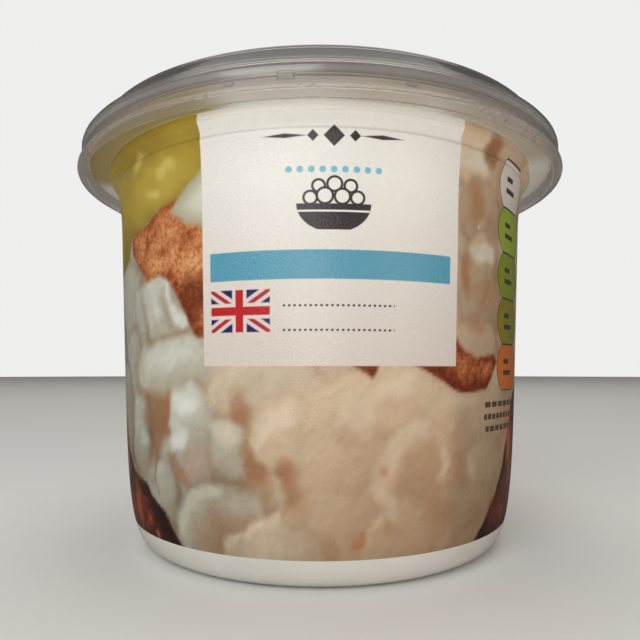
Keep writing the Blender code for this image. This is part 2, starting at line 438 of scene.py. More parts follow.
def paint_left_curds(picture):
    """The pale curds left of the front panel, from the back ones to the front ones."""
    rust, brown, white = (166, 112, 74), (148, 106, 74), (226, 228, 220)
    picture.paint([
        ((-48, 40, 6, 10, 10), 0.94, 0.9), ((-39.5, 43, 6, 8.6, 22), 0.98, 0.9),
        ((-32.5, 39.5, 4.4, 6, 10), 0.94, 0.7), ((-27.2, 41, 5, 6.8, 26), 0.98, 1.1),
        ((-38.4, 31, 4.2, 8, -4), 0.95, 0.9), ((-44, 24, 4.4, 9, 0), 0.92, 0.9),
        ([(-27, 45.5), (-24.6, 41.5), (-21.6, 38.4)], 0.9, white, 0.8),
        ((-29.4, 42.5, 0.8, 3.4, 20), (214, 214, 200), 0.6), ((-26.2, 41.5, 0.9, 3.8, 15), (166, 154, 132), 0.7),
        ((-26, 36.9, 5, 0.9, 8), (170, 138, 106), 0.9), ((-25.4, 30.8, 10.4, 6.3, 7), 1.02, 0.8),
        ((-25.6, 33.4, 5, 1.6, 8), (222, 222, 208), 0.5), ((-26.2, 28.6, 6, 2, 10), (180, 174, 152), 0.7),
        ((-33.8, 32, 1, 3), (190, 178, 150), 0.6),
    ])
    part, distance = picture.outline([(-34, 28.6), (-25.6, 27.8), (-26.4, 23), (-28.8, 19), (-29.6, 13), (-31, 19)])
    picture.lay(part, 0.8 * ease(1.2, -1.2, distance), brown)
    picture.paint([
        ((-35.8, 21.6, 3.8, 6.2, -6), 0.95, 1.1), ((-32.4, 25.8, 1.2, 2, 20), (150, 118, 90), 0.8),
        ((-34.4, 21.2, 1.7, 2), (204, 210, 196), 0.8), ((-20.6, 24.2, 5.6, 5.4, 12), 1.02, 1),
        ((-21.6, 27, 3.6, 1.6, 10), white, 0.8), ((-19.2, 23.4, 3, 2.2, 20), (190, 190, 172), 0.6),
        ((-26.6, 25.4, 0.9, 2.8, -4), rust, 0.9), ((-19.6, 18, 4.8, 4.2, -20), 0.94, 0.9),
        ((-20.4, 17.8, 3.6, 3, 20), (192, 166, 146), 0.8), ((-24.3, 21.2, 1.8, 1.6, 30), (228, 232, 226), 0.95),
        ((-24.6, 16.8, 1, 2.6, 35), (180, 132, 96), 0.9), ((-27.2, 13.4, 2.3, 4.6, 14), 1, 1),
        ((-34.6, 15.8, 2.4, 2.8), (182, 170, 150), 0.7), ((-16.6, 8.2, 8.8, 7, 25), 1, 1.1),
        ((-14.6, 6.6, 6.6, 5.4, 25), (172, 136, 107), 0.85, 0.75),
        ([(-23.9, 8.6), (-22, 11.8), (-19, 13.9), (-15.6, 14.8)], 0.9, (216, 214, 194), 0.8),
    ])


def paint_lower_curds(picture):
    """The creamy curds and the brown hollows below the front panel."""
    tan, rust, light = (178, 140, 110), (160, 108, 72), (226, 208, 184)
    picture.paint([
        ((-9, 29, 9, 5.4, 0), 1, 0.7), ((-12.4, 25.4, 1.8, 3, 12), rust, 0.75),
        ((-13.6, 20.4, 4.2, 4.4, 0), 0.98, 0.8), ((-13.9, 22.8, 2.4, 1.2, 10), light, 0.7),
        ((-9.4, 18.4, 1.4, 4.4, 12), rust, 0.8), ((-3.2, 22.4, 7, 4.8, -12), 1, 0.7),
        ([(-9.4, 22), (-8.6, 24.2), (-5.6, 25.6), (-1, 25.8)], 0.8, light, 0.6),
        ((-5.4, 17.4, 1.3, 2.2, 10), rust, 0.75), ((-2.8, 13.6, 3.4, 2, -28), (166, 118, 84), 0.75),
        ((4.4, 26.4, 8, 5.6, 10), 1.02, 0.45, 0.3), ((12.4, 27.6, 7, 5.4, 0), 1.03, 0.4, 0.3),
        ((3.4, 18.4, 7.4, 6, 0), 1, 0.45, 0.3), ((22.6, 24.4, 7, 4.8, -10), 1.02, 0.45, 0.3),
        ((31.4, 24.6, 6, 6, 20), 1, 0.5, 0.3), ((3.2, 10.2, 6.6, 5.6, 0), 0.98, 0.5, 0.3),
        ((30.8, 15.4, 6, 6.6, 25), 0.99, 0.45, 0.3), ((16.2, 17.4, 7.4, 6.2, 10), 1.03, 0.5, 0.3),
        ((24.6, 9.2, 9, 5.8, 8), 0.97, 0.5, 0.3), ((12.4, 8.6, 7, 5.2, 20), 0.98, 0.5, 0.3),
        ((16.6, 17.2, 4.8, 4.4, 10), tan, 0.5, 0.4), ([(9.2, 14), (9.8, 18), (12, 21.6), (16, 23)], 1.3, light, 0.55),
        ((19.9, 18.3, 1, 2.4), light, 0.7), ((26.8, 17, 0.9, 2.2), light, 0.7),
        ((23, 17.6, 1.3, 1.8), (202, 150, 124), 0.6), ((9.8, 17.4, 0.8, 1), (194, 138, 106), 0.6),
        ((9.6, 13.6, 2.6, 1, -30), light, 0.6), ((11.4, 11.4, 0.8, 1.8), light, 0.6),
        ((8.2, 9.6, 1.6, 0.8, 40), light, 0.7), ((6, 8, 1, 0.6, 30), (188, 118, 62), 0.6),
        ((7.4, 9.6, 0.7, 0.6), (196, 144, 100), 0.4), ((10.9, 9, 0.9, 0.8), (190, 138, 104), 0.55),
        ((12, 29.4, 3.4, 1.6, 20), light, 0.5), ((5.4, 25.4, 2.6, 4), light, 0.45),
        ((4.4, 21.6, 2.6, 1.4), tan, 0.4), ((19.8, 10.6, 3, 2.4), tan, 0.5), ((28, 10.2, 2.6, 2), tan, 0.4),
        ((24.4, 27, 2.6, 1), light, 0.5), ((32.6, 30.4, 1.6, 2.2), light, 0.5),
        ((-7.4, 4.6, 8.6, 5.8, 8), 0.95, 0.8),
        ([(-15, 6.5), (-12.8, 8.5), (-9.6, 10.1), (-6, 10.8)], 0.7, light, 0.6),
    ])


def paint_right_curds(picture):
    """Creamy curds with toasted brown blots right of the front panel."""
    toast, brown, cream = (178, 132, 92), (150, 106, 68), (232, 224, 206)
    picture.paint([
        ((34, 66, 7, 6, 0), 0.98, 0.6), ((26.6, 64.4, 5, 5, 10), 1.06, 0.6), ((28, 57, 5, 5, 0), 0.94, 0.9),
        ((31, 50, 6.4, 4, 0), 1, 0.8), ((28.5, 43.6, 5.6, 5.2, 0), 0.95, 0.9),
        ((28, 36.6, 4.8, 3.8, 0), 1.02, 0.7), ((26.4, 64.6, 2.6, 2.2), cream, 0.8),
        ((24, 65.2, 1.6, 2), (224, 210, 188), 0.6), ((28.9, 66.6, 1.7, 2), brown, 0.9),
        ((26.3, 58, 2.3, 3.4), toast, 0.8), ((30.6, 59.4, 1.8, 2.8), (200, 172, 140), 0.7),
        ((31.2, 54.4, 2, 2.6), (184, 148, 116), 0.8), ((27.6, 55.4, 1.2, 1), (208, 176, 140), 0.7),
        ((29, 50.4, 3.4, 1.3, -6), cream, 0.9), ((24.6, 46.6, 1.4, 3), (178, 126, 88), 0.85),
        ((29.8, 44.4, 2.8, 2.4), (188, 140, 104), 0.7), ((27.4, 39.6, 2.4, 1.6), (184, 142, 110), 0.7),
        ((33.2, 48, 1.2, 3.4), (172, 128, 94), 0.6), ((26.7, 55, 0.4, 0.4), (246, 238, 224)),
    ])


def paint_fruit(picture):
    """Smooth yellow-green fruit, darker towards its rim."""
    for index, corners in enumerate(FRUIT_PATCHES):
        part, distance = picture.outline(corners)
        body = np.sqrt(np.clip(-distance / 7.0, 0, 1))
        across, up = picture.across[part], picture.up[part]
        streaks = layered(0.45 * across + 0.5 * up, up - across, 5.0, 60 + index) - 0.5
        tone = 0.20 + 0.42 * body + 0.42 * streaks
        picture.lay(part, ease(0.3, -0.3, distance), ramp(tone, FRUIT))
    picture.paint([
        ((-27.5, 60.6, 7.5, 3.4, 8), (208, 184, 90), 0.6, 0.9), ((-30, 67.4, 13, 2.4), (140, 116, 44), 0.5, 0.9),
    ])
    for place in ((-25.4, 63.6, 2.4, 0.8, 12), (-29.4, 60.4, 1.8, 0.7, -10), (-33, 66, 2.6, 1.0, 20)):
        picture.blot(place, (222, 206, 130), 0.55)
    picture.blot((-41.4, 53.4, 2, 3.4, 30), (140, 112, 34), 0.6)


def paint_crackers(picture):
    """Pitted baked crackers with ragged, darker rims."""
    jobs = [(corners, BAKED, level) for corners, level in zip(CRACKER_PATCHES, CRACKER_LEVELS)]
    jobs += [(corners, DARK_BAKED, DARK_LEVEL) for corners in DARK_PATCHES]
    for index, (corners, colours, level) in enumerate(jobs):
        part, distance = picture.outline(rounded(corners) if len(corners) > 4 else corners, 0.4)
        across, up = picture.across[part], picture.up[part]
        distance = distance + 0.6 * (layered(across, up, 2.4, 90 + index) - 0.5)
        bumps = layered(across, up, 2.2, 110 + 5 * index, 3)
        browned = layered(across, up, 5.0, 130 + 5 * index, 3) - 0.5
        pits = ease(0.34, 0.24, layered(across, up, 1.5, 150 + 5 * index, 2))
        rim = ease(-2.2, 0.0, distance)
        tone = level + 0.13 + 0.30 * lit_relief(1.5 * bumps) + 0.30 * (bumps - 0.5) + 0.6 * browned
        tone = tone - 0.26 * rim - 0.16 * pits
        low, high = min(corner[1] for corner in corners), max(corner[1] for corner in corners)
        tone = tone - 0.24 * ease(0.6 * low + 0.4 * high, low, up)
        mask = ease(0.3, -0.3, distance)
        picture.lay(part, mask, ramp(tone, colours))
        picture.crumb[part] = np.maximum(picture.crumb[part], mask)


def paint_edges(picture):
    """The white wedge beside the panel, the left cracker's dark foot, a burnt rim and glowing edges."""
    part, distance = picture.outline(WEDGE)
    wedge = ease(0.35, -0.35, distance)
    shade = ease(-3.5, 0.5, distance)[..., None]
    picture.lay(part, wedge, shade * np.array((172, 166, 138)) + (1 - shade) * np.array((212, 210, 192)))
    picture.crumb[part] *= 1 - wedge
    plain = picture.colour.copy()
    picture.paint([
        ((-20.2, 42.6, 4.2, 3.4, 25), (118, 54, 27), 0.8), ((-16.5, 45.5, 3.6, 2, 30), (140, 72, 38), 0.6),
        ((-27.5, 54.5, 3.4, 1.8, 10), (214, 140, 92), 0.5), ((-26, 48.6, 3, 1.6, 20), (226, 164, 112), 0.5),
    ])
    picture.colour = plain + picture.crumb[..., None] * (picture.colour - plain)
    picture.stroke([(-36.4, 12.6), (-32.2, 10.4), (-29, 8.2), (-26, 4.4)], 1, (42, 20, 14), 0.95)
    for place, colour in [((-38.2, 9.4, 1.4, 4.0), (172, 84, 28)), ((-45.4, 18, 1.3, 5.0), (184, 110, 58)),
                          ((-31.6, 6.0, 0.8, 0.6), (196, 116, 50)), ((-33.4, 7.6, 0.6, 0.5), (180, 96, 40)),
                          ((40.4, 21, 1.5, 5.0, 18), (208, 112, 60)), ((34.6, 8.6, 1.6, 1.8), (118, 42, 24))]:
        picture.blot(place, colour, 0.8)


def painted_picture():
    picture = Picture()
    paint_scattered_curds(picture)
    paint_left_curds(picture)
    paint_lower_curds(picture)
    paint_right_curds(picture)
    # Painted shade: the curds on the front darken towards the bottom
    for shade, (start, end, fade_start, fade_end), (low, high) in PAINTED_SHADE_FIELDS:
        painted_shade = ease(start, end, picture.across) * ease(fade_end, fade_start, picture.across)
        painted_shade = painted_shade * ease(low, high, picture.up)
        picture.colour *= 1 - painted_shade[..., None] * np.array(shade)
    relief = layered(picture.wobbled_across, picture.wobbled_up, 4.4, 200, 3)
    picture.colour *= (1 + 0.09 * lit_relief(2.2 * relief))[..., None]
    paint_fruit(picture)
    paint_crackers(picture)
    paint_edges(picture)
    return picture


# Pieces

def make_wrap():
    """Lay the wrap out flat as a fine grid, roll it round the wall and close its hidden side."""
    deselect_all()
    bpy.ops.mesh.primitive_grid_add(x_subdivisions=WRAP_COLUMNS, y_subdivisions=WRAP_ROWS, size=1, location=(0, 0, 0))
    wrap = name_new("picture_wrap")
    mesh = wrap.data
    flat = np.zeros(len(mesh.vertices) * 3)
    mesh.vertices.foreach_get("co", flat)
    flat = flat.reshape(-1, 3)
    share = 2 * flat[:, 0]
    across = GIRTH / 2 * share * (0.72 + 0.28 * share * share)
    up = WRAP_LOW + (WRAP_HIGH - WRAP_LOW) * (flat[:, 1] + 0.5)
    paint_wrap(mesh, across, up)
    overlap = OVERLAP_RISE * ease(GIRTH / 2 - OVERLAP_WIDTH - 0.3, GIRTH / 2 - OVERLAP_WIDTH, across)
    radius = (wall_radius(up) + overlap) * MM
    angle = across / PRINT_RADIUS
    rolled = np.stack([radius * np.sin(angle), -radius * np.cos(angle), up * MM], -1)
    mesh.vertices.foreach_set("co", rolled.ravel())
    mesh.update()
    close_wrap(wrap)
    return wrap


def paint_wrap(mesh, across, up):
    """Store the picture's colour at every point of the flat wrap."""
    picture = painted_picture()
    x = np.clip((across + GIRTH / 2) / PICTURE_STEP, 0, picture.colour.shape[1] - 1.001)
    y = np.clip(up / PICTURE_STEP, 0, picture.colour.shape[0] - 1.001)
    column, row = x.astype(int), y.astype(int)
    fx, fy = (x - column)[:, None], (y - row)[:, None]
    layers = np.concatenate([picture.colour / 255, picture.crumb[..., None]], -1)
    values = np.clip(blended(layers, row, column, column + 1, fx, fy), 0, 1)
    values[:, :3] = linear(values[:, :3])
    store = mesh.color_attributes.new("picture", "FLOAT_COLOR", "POINT")
    store.data.foreach_set("color", values.astype(np.float32).ravel())
    print("painted", len(values), "points")


def close_wrap(wrap):
    """Join the ends of the rolled sheet and give it a thin hidden side."""
    bpy.ops.object.mode_set(mode="EDIT")
    bpy.ops.mesh.select_all(action="SELECT")
    bpy.ops.mesh.remove_doubles(threshold=0.1 * MM)
    bpy.ops.mesh.select_mode(type="EDGE")
    bpy.ops.mesh.select_all(action="DESELECT")
    shape = bmesh.from_edit_mesh(wrap.data)
    for edge in shape.edges:
        edge.select = edge.is_boundary and edge.verts[0].co.z < (WRAP_LOW + 1) * MM
    bmesh.update_edit_mesh(wrap.data)
    height = WRAP_LOW
    radius = float(wall_radius(height))
    for next_height in WRAP_BACK_HEIGHTS:
        next_radius = float(wall_radius(next_height)) - WRAP_INSET
        bpy.ops.mesh.extrude_edges_move(TRANSFORM_OT_translate={"value": (0, 0, (next_height - height) * MM)})
        scale = next_radius / radius
        bpy.ops.transform.resize(value=(scale, scale, 1), center_override=(0, 0, 0))
        height, radius = next_height, next_radius
    shape = bmesh.from_edit_mesh(wrap.data)
    for edge in shape.edges:
        edge.select = edge.is_boundary
    bmesh.update_edit_mesh(wrap.data)
    bpy.ops.mesh.bridge_edge_loops()
    bpy.ops.mesh.select_all(action="SELECT")
    bpy.ops.mesh.normals_make_consistent(inside=False)
    bpy.ops.mesh.select_mode(type="VERT")
    shade_smooth(wrap)


def tub_outline():
    """Outline of the filled tub from the middle of its recess, round the foot and up to its rim."""
    inner = WRAP_INSET + 0.02
    points = [(0.0, 1.2), (20.2, 1.2), (20.7, 1.05), (21.6, 0.15), (22.1, 0.0)]
    for step in range(ROUND_STEPS):
        angle = math.pi / 2 * (1 - step / ROUND_STEPS)
        height = ROUND_HEIGHT * (1 - math.sin(angle) ** (2 / ROUND_POWER))
        if height < WRAP_LOW:
            points.append((float(wall_radius(height)), height))
        else:
            points.append((float(wall_radius(height)) - inner, height))
    for height in (51, 55, 59, 61, 63, 65, 66.35, 66.8, 67.25, 67.8, 68.3, 69.6):
        points.append((float(wall_radius(height)) - inner, height))
    points += arc((42.8, 69.6), 0.4, 180, 90, 4)
    points += [(45.75, 70.05)]
    points += arc((45.75, 70.4), 0.35, -90, 0, 4)
    points += arc((45.75, 70.85), 0.35, 0, 90, 4)
    points += [(43.6, 71.2), (43.2, 71.1), (0.0, 71.1)]
    return points


def film_outline():
    """Outline of the sealing film: flat in the middle, pressed thin where it is welded to the rim."""
    return [(0.0, 71.8), (41.6, 71.8), (42.2, 71.7), (42.6, 71.62), (44.6, 71.62), (45.2, 71.7), (45.75, 71.7),
            (45.9, 71.6), (45.75, 71.5), (0.0, 71.5)]


def lid_outline():
    """Closed outline of the lid's thin wall: out over its top to the lip, then back under it."""
    top = [(0.0, 74.0), (32.1, 74.0)]
    top += arc((32.1, 73.7), 0.3, 70, 30, 2)
    top += [(32.75, 73.6), (33.1, 73.5)]
    top += arc((39.5, 74.4), 0.9, -90, 0, 6)
    top += arc((41.5, 76.1), 1.1, 180, 90, 8)
    top += arc((43.2, 76.1), 1.1, 90, 20, 8)
    top += [(45.05, 74.45), (45.3, 74.12), (45.6, 73.97)]
    top += [(46.7, 73.68), (47.1, 73.45), (47.35, 73.1), (47.45, 72.75), (47.35, 72.5), (47.12, 72.3)]
    top += [(47.15, 71.9), (47.4, 70.3), (47.6, 69.8), (48.0, 69.0), (48.05, 68.75), (47.95, 68.5)]
    top += [(47.0, 67.95), (46.6, 67.8)]
    return top + inset_outline(top, LID_WALL)[::-1]


LUG_COUNT = 12
LUG_RADIUS = 0.55
LUG_PLACE = (47.42, 70.1)
PAD_SIZE = (2.3, 0.5, 1.2)
PAD_PLACE = (47.22, 70.8)
PAD_TURN = math.radians(5.5)


def make_lugs():
    """Small moulded lugs round the lid's skirt, and a blank pad left of its front."""
    deselect_all()
    bpy.ops.mesh.primitive_uv_sphere_add(segments=20, ring_count=12, radius=LUG_RADIUS * MM, location=(0, 0, 0))
    lug = name_new("lid_lugs")
    bpy.ops.object.mode_set(mode="EDIT")
    bpy.ops.mesh.select_all(action="SELECT")
    bpy.ops.transform.resize(value=(1.5, 0.6, 0.8), center_override=(0, 0, 0))
    bpy.ops.transform.translate(value=(0, -LUG_PLACE[0] * MM, LUG_PLACE[1] * MM))
    bpy.ops.transform.rotate(value=math.pi / LUG_COUNT, orient_axis="Z", center_override=(0, 0, 0))
    for _ in range(LUG_COUNT - 1):
        bpy.ops.mesh.duplicate()
        bpy.ops.transform.rotate(value=2 * math.pi / LUG_COUNT, orient_axis="Z", center_override=(0, 0, 0))
    bpy.ops.mesh.primitive_cube_add(size=MM, location=(0, 0, 0))
    bpy.ops.transform.resize(value=PAD_SIZE, center_override=(0, 0, 0))
    bpy.ops.mesh.bevel(offset=0.12 * MM, segments=3, affect="EDGES")
    bpy.ops.transform.translate(value=(0, -PAD_PLACE[0] * MM, PAD_PLACE[1] * MM))
    bpy.ops.transform.rotate(value=PAD_TURN, orient_axis="Z", center_override=(0, 0, 0))
    bpy.ops.mesh.select_all(action="SELECT")
    bpy.ops.mesh.normals_make_consistent(inside=False)
    shade_smooth(lug)
    return lug


# Materials

def ink(red, green, blue):
    """Linear colour for a colour given as it shows on a screen, 0 to 255."""
    return (*linear((red / 255, green / 255, blue / 255)).tolist(), 1.0)


class Value:
    """An output socket of a node, so that a formula over the surface can be written as one."""

    def __init__(self, socket):
        self.socket = socket

    def __add__(self, other):
        return compute("ADD", self, other)

    def __sub__(self, other):
        return compute("SUBTRACT", self, other)

    def __mul__(self, other):
        return compute("MULTIPLY", self, other)

    def __truediv__(self, other):
        return compute("DIVIDE", self, other)

    def __rtruediv__(self, other):
        return compute("DIVIDE", other, self)

    def __pow__(self, other):
        return compute("POWER", self, other)

    def __abs__(self):
        return compute("ABSOLUTE", self)

    def between(self, low, high, new_low, new_high):
        """Goes from new_low to new_high as this value goes from low to high, and stays there."""
        fed = dict(enumerate((self, low, high, new_low, new_high)))
        return Value(add_node(tree_of(self), "ShaderNodeMapRange", fed, clamp=True).outputs[0])

    def rise(self, low, high):
        return self.between(low, high, 0.0, 1.0)

    def fade(self, low, high):
        return self.between(low, high, 1.0, 0.0)


def tree_of(*values):
    """Node tree of the first of some values that isn't a plain number."""
    return next(value.socket.id_data for value in values if isinstance(value, Value))


def feed(node, fed):
    """Link inputs of a node, by name or number, to values, or set them to plain numbers and colours."""
    for name, value in fed.items():
        if isinstance(value, Value):
            node.id_data.links.new(value.socket, node.inputs[name])
        else:
            node.inputs[name].default_value = value
    return node


def add_node(tree, kind, fed, **settings):
    made = tree.nodes.new(kind)
    for key, value in settings.items():
        setattr(made, key, value)
    return feed(made, fed)


def source(tree, kind, output, **settings):
    """Output of a new node that is fed by nothing."""
    return Value(add_node(tree, kind, {}, **settings).outputs[output])


def compute(operation, *values):
    fed = dict(enumerate(values))
    return Value(add_node(tree_of(*values), "ShaderNodeMath", fed, operation=operation).outputs[0])


def least(first, second):
    return compute("MINIMUM", first, second)


def most(first, second):
    return compute("MAXIMUM", first, second)


def span(dx, dy):
    """Length of a step across and up."""
    return compute("SQRT", dx * dx + dy * dy)


def pitch_share(across, shift, pitch):
    """Share of a repeated pitch, from 0 to 1."""
    return compute("FRACT", (across + shift) / pitch)


def mix(share, first, second, **settings):
    """Colour that goes from first to second as share goes from 0 to 1."""
    tree = tree_of(share, first, second)
    made = add_node(tree, "ShaderNodeMix", {}, data_type="RGBA", **settings)
    return Value(feed(made, {0: share, 6: first, 7: second}).outputs[2])


def scaled(colour, amount):
    return mix(1.0, colour, amount, blend_type="MULTIPLY")


def noise(place, scale, detail=2.0, roughness=0.5):
    fed = {"Vector": place, "Scale": scale, "Detail": detail, "Roughness": roughness}
    return Value(add_node(tree_of(place), "ShaderNodeTexNoise", fed).outputs["Fac"])


def bump(height, strength, distance, before=None):
    """Normal over a relief, with the distance in millimetres."""
    fed = {"Height": height, "Strength": strength, "Distance": distance * MM}
    made = add_node(tree_of(height), "ShaderNodeBump", fed)
    return Value((feed(made, {"Normal": before}) if before else made).outputs["Normal"])


def object_place(tree):
    return source(tree, "ShaderNodeTexCoord", "Object")


def millimetres(tree):
    """Object coordinates in millimetres, one value for each axis."""
    split = add_node(tree, "ShaderNodeSeparateXYZ", {0: object_place(tree)})
    return [Value(output) * (1 / MM) for output in split.outputs]


def new_group(name, inputs, outputs):
    """Start a shader node group with named number sockets: its tree, given values and output node."""
    tree = bpy.data.node_groups.new(name, "ShaderNodeTree")
    for socket, value in inputs.items():
        tree.interface.new_socket(socket, in_out="INPUT", socket_type="NodeSocketFloat").default_value = value
    for socket in outputs:
        tree.interface.new_socket(socket, in_out="OUTPUT", socket_type="NodeSocketFloat")
    given = {output.name: Value(output) for output in tree.nodes.new("NodeGroupInput").outputs}
    return tree, given, tree.nodes.new("NodeGroupOutput")


def use_group(tree, group, **fed):
    """Place a shared group in a tree, with its inputs fed by name, and give its values by name."""
    made = add_node(tree, "ShaderNodeGroup", {}, node_tree=group)
    feed(made, {name.replace("_", " "): value for name, value in fed.items()})
    return {output.name: Value(output) for output in made.outputs}


# How much wider the print lies at the groove and at the collar than the wrap's girth says
PRINT_FLARE_START = 62.0
PRINT_FLARE_END = 68.0
GROOVE_SPREAD = 1.016
COLLAR_SPREAD = 1.022


def wrap_place_group():
    """Place on the wrap in millimetres: across from the middle of the front, and up."""
    tree, _, out = new_group("Wrap place", {}, ("Across", "Up"))
    x, y, up = millimetres(tree)
    radius = up.between(PRINT_FLARE_START, GROOVE_HEIGHT, PRINT_RADIUS, GROOVE_SPREAD * PRINT_RADIUS)
    radius = radius * up.between(GROOVE_HEIGHT, PRINT_FLARE_END, 1.0, COLLAR_SPREAD)
    feed(out, {"Across": compute("ARCTAN2", x, y * -1.0) * radius, "Up": up})
    return tree


# Width over which a printed edge goes from paper to ink
SOFT_EDGE = (-0.07, 0.07)


def box_group():
    """Mask of an upright box with round corners, from its edges in millimetres."""
    sides = ("Across", "Up", "Left", "Right", "Bottom", "Top", "Corner")
    tree, given, out = new_group("Printed box", dict.fromkeys(sides, 0.0), ("Mask",))

    def overhang(place, low, high):
        middle, half = (given[low] + given[high]) * 0.5, (given[high] - given[low]) * 0.5
        return abs(given[place] - middle) - (half - given["Corner"])

    sideways, upwards = overhang("Across", "Left", "Right"), overhang("Up", "Bottom", "Top")
    outside = span(most(sideways, 0.0), most(upwards, 0.0))
    inside = least(most(sideways, upwards), 0.0)
    feed(out, {"Mask": (outside + inside - given["Corner"]).fade(*SOFT_EDGE)})
    return tree


def grain_group():
    """Fine print grain, the orange peel of a satin skin and broad smudges, with sizes in millimetres."""
    sizes = {"Grain Size": 0.25, "Peel Size": 0.5}
    tree, given, out = new_group("Satin grain", sizes, ("Grain", "Peel", "Smudge"))
    place = object_place(tree)
    feed(out, {
        "Grain": noise(place, 1 / MM / given["Grain Size"], 3.0),
        "Peel": noise(place, 1 / MM / given["Peel Size"], 1.0),
        "Smudge": noise(place, 1 / MM / 14.0, 3.0),
    })
    return tree


WRAP_PLACE = wrap_place_group()
PRINTED_BOX = box_group()
SATIN_GRAIN = grain_group()

# Inks, and places of the printed shapes: left, right, bottom, top
INK_DARK = ink(58, 50, 54)
PAPER = ink(233, 230, 223)
# Paper low on the panel, darker and warmer as painted shade
PAPER_PAINTED_SHADE = ink(218, 206, 197)
PANEL = (-18.25, 22.3, 32.5, 74.0)
BLUE_BAND = (-16.9, 20.8, 44.85, 49.05)
FLAG = (-16.8, -7.3, 37.35, 43.5)
PANEL_MIDDLE = 2.0
DOTTED_RULES = (41.1, 37.6)
RULE_ENDS = (-5.8, 11.1)
DOT_PITCH = 0.78
DOT_HEIGHT = 0.30
DIAMOND_HEIGHT = 65.3
DIAMONDS = [(2.0, 1.5, 1.5), (-1.0, 0.8, 0.8), (5.0, 0.8, 0.8), (-5.0, 3.2, 0.32), (9.0, 3.2, 0.32)]
BEAD_HEIGHT = 60.6
BEAD_PITCH = 1.62
BEAD_ROW_HALF = 7.4
BOWL_LEVEL = 55.6
BOWL_SIZE = (5.4, 4.1)
BOWL_CURDS = [(-3.4, 0.9, 1.05), (-1.3, 1.2, 1.25), (1.2, 1.1, 1.2), (3.4, 0.9, 1.05),
              (-2.2, 2.6, 1.0), (0.1, 2.9, 1.15), (2.4, 2.6, 1.0)]
TAB_COLOURS = [(216, 206, 198), (144, 166, 50), (126, 142, 32), (130, 126, 28), (198, 104, 38)]
TAB_TOP = 67.3
TAB_LEFT = 33.5
TAB_PITCH = 7.75
TAB_WIDTH = 11.5
TAB_BULGE = 2.1
TAB_SLANT = -0.022
TAB_LEVEL = 48.0
TICK_LEFT = 36.4
TICK_HALF = 0.42
TICKS = ((-1.0, 2.8), (0.9, 4.2))
DASH_ROWS = [(29.6, 2.3), (29.8, 1.5), (30.3, 1.9)]
DASH_TOP = 26.4
DASH_RIGHT = 44.0
DASH_ROW_PITCH = 1.95
DASH_HALF = 0.45


def box(across, up, left, right, bottom, top, corner=0.0):
    """Mask of a printed box."""
    return use_group(tree_of(across), PRINTED_BOX, Across=across, Up=up, Left=left, Right=right,
                     Bottom=bottom, Top=top, Corner=corner)["Mask"]


def print_front(across, up, colour):
    """Pale panel, blue band, flag, dotted rules and plain signs on the front."""
    # The panel's paper darkens towards its bottom as painted shade
    colour = mix(box(across, up, *PANEL), colour, mix(up.rise(34.0, 60.0), PAPER_PAINTED_SHADE, PAPER))
    colour = mix(box(across, up, *BLUE_BAND), colour, ink(90, 156, 180))
    colour = print_flag(across, up, colour)
    dots = compute("LESS_THAN", abs(pitch_share(across, 100.0, DOT_PITCH) - 0.5), 0.24)
    for height in DOTTED_RULES:
        rule = box(across, up, *RULE_ENDS, height - DOT_HEIGHT / 2, height + DOT_HEIGHT / 2)
        colour = mix(rule * dots, colour, INK_DARK)
    for print_sign in (print_beads, print_diamonds, print_bowl):
        colour = print_sign(across, up, colour)
    return colour


def print_beads(across, up, colour):
    """A row of light blue beads under the diamonds."""
    share = pitch_share(across, 100.5 * BEAD_PITCH - PANEL_MIDDLE, BEAD_PITCH)
    bead = span((share - 0.5) * BEAD_PITCH, up - BEAD_HEIGHT).fade(0.42, 0.54)
    near = compute("LESS_THAN", abs(across - PANEL_MIDDLE), BEAD_ROW_HALF)
    return mix(bead * near, colour, ink(126, 186, 208))


def print_diamonds(across, up, colour):
    """A dark row of diamonds, drawn out thin at both ends."""
    for middle, wide, tall in DIAMONDS:
        away = (abs(across - middle) / wide + abs(up - DIAMOND_HEIGHT) / tall - 1.0) * min(wide, tall)
        colour = mix(away.fade(*SOFT_EDGE), colour, INK_DARK)
    return colour


def print_bowl(across, up, colour):
    """A plain dark bowl heaped with outlined curds."""
    x, y = across - PANEL_MIDDLE, up - BOWL_LEVEL
    for offset, rise, radius in BOWL_CURDS[::-1]:
        reach = span(x - offset, y - rise)
        colour = mix(reach.fade(radius + 0.02, radius + 0.14), colour, INK_DARK)
        colour = mix(reach.fade(radius - 0.34, radius - 0.22), colour, PAPER)
    inside = span(x / BOWL_SIZE[0], y / BOWL_SIZE[1]).fade(0.985, 1.015)
    bowl = inside * y.fade(0.0, 0.12) * y.rise(-3.75, -3.65)
    stripe = abs(y + 1.0).fade(0.10, 0.18)
    return mix(stripe * bowl, mix(bowl, colour, INK_DARK), PAPER)


def print_flag(across, up, colour):
    """A small crossed flag in dark blue, white and red."""
    left, right, bottom, top = FLAG
    x = (across - (left + right) / 2) / ((right - left) / 2)
    y = (up - (bottom + top) / 2) / ((top - bottom) / 2)
    diagonal = least(abs(y - x), abs(y + x))
    upright = least(abs(x) * 1.55, abs(y))
    design = ink(40, 36, 92)
    for away, low, high, tint in [
        (diagonal, 0.30, 0.36, (226, 206, 204)), (diagonal, 0.09, 0.14, (176, 44, 48)),
        (upright, 0.34, 0.40, (230, 212, 208)), (upright, 0.18, 0.23, (190, 34, 40)),
    ]:
        design = mix(away.fade(low, high), design, ink(*tint))
    return mix(box(across, up, *FLAG), colour, design)


